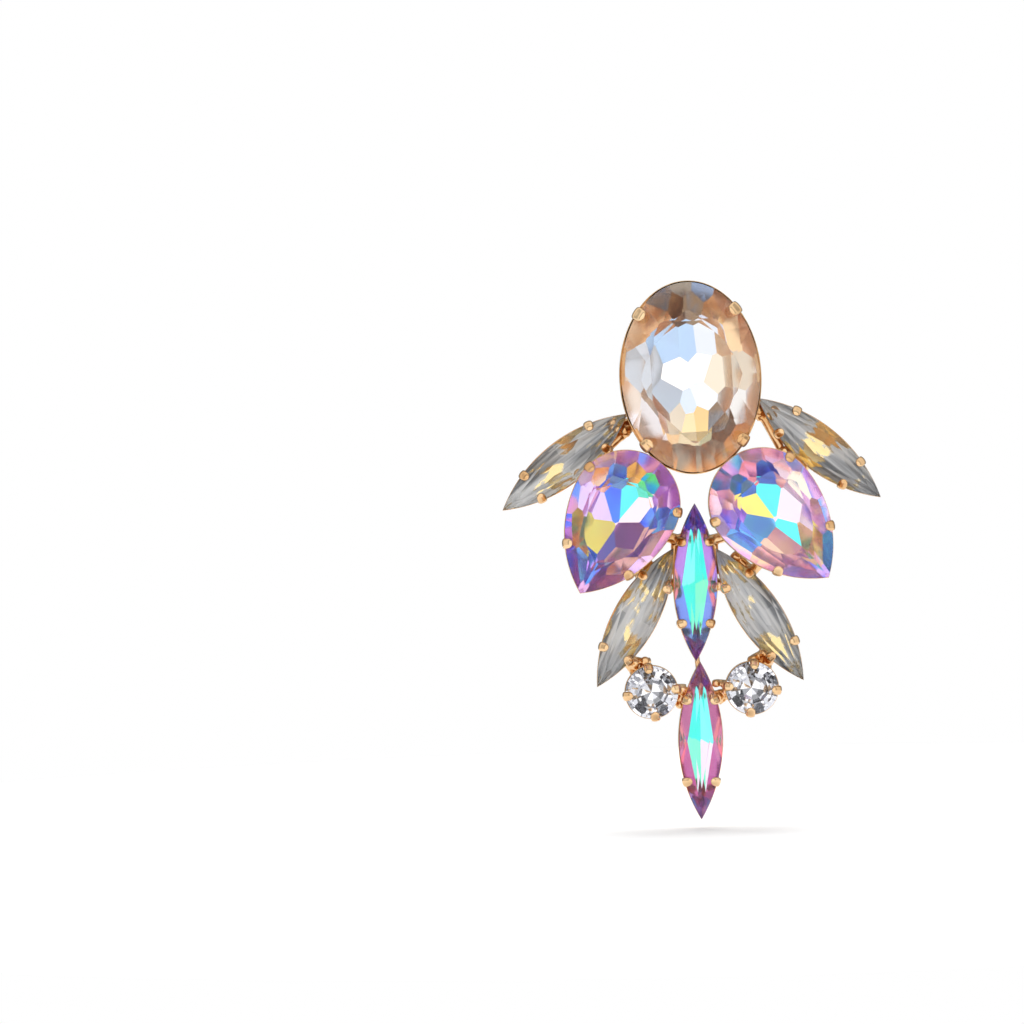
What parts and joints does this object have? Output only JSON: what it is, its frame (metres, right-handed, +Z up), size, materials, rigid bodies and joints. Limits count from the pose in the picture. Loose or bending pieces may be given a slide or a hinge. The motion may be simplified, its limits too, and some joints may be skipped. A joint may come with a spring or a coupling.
{
  "type": "chandelier earring",
  "caption": "Drop earring on an ear post: an oval crystal above a fan of pear, navette and round crystals, claw-set in soldered gold-coloured cups.",
  "frame": {"origin": "on the axis of the ear post, at the back face of its pad, where the front of the ear lobe lies", "axes": "+Z up as worn, +X to the right as seen from the front, +Y along the post away from the stones"},
  "size_m": [0.0367, 0.018, 0.0521],
  "materials": {
    "rose_gold": "polished light rose-gold plating with cast and soldered unevenness",
    "champagne_crystal": "faceted foil-backed champagne crystal glass",
    "lilac_crystal": "faceted foil-backed lilac crystal glass with an iridescent coating",
    "grey_crystal": "faceted grey crystal glass with a gold patina in patches",
    "turquoise_crystal": "faceted foil-backed crystal glass with a turquoise and violet iridescent coating",
    "clear_crystal": "faceted foil-backed clear crystal glass"
  },
  "bodies": {
    "root": {"gold_frame": "rose_gold", "ear_post": "rose_gold", "oval_stone": "champagne_crystal", "pear_stone_left": "lilac_crystal", "pear_stone_right": "lilac_crystal", "outer_leaf_stone_left": "grey_crystal", "outer_leaf_stone_right": "grey_crystal", "inner_leaf_stone_left": "grey_crystal", "inner_leaf_stone_right": "grey_crystal", "centre_navette_stone": "turquoise_crystal", "drop_navette_stone": "turquoise_crystal", "round_stone_left": "clear_crystal", "round_stone_right": "clear_crystal"}
  },
  "joints": []
}
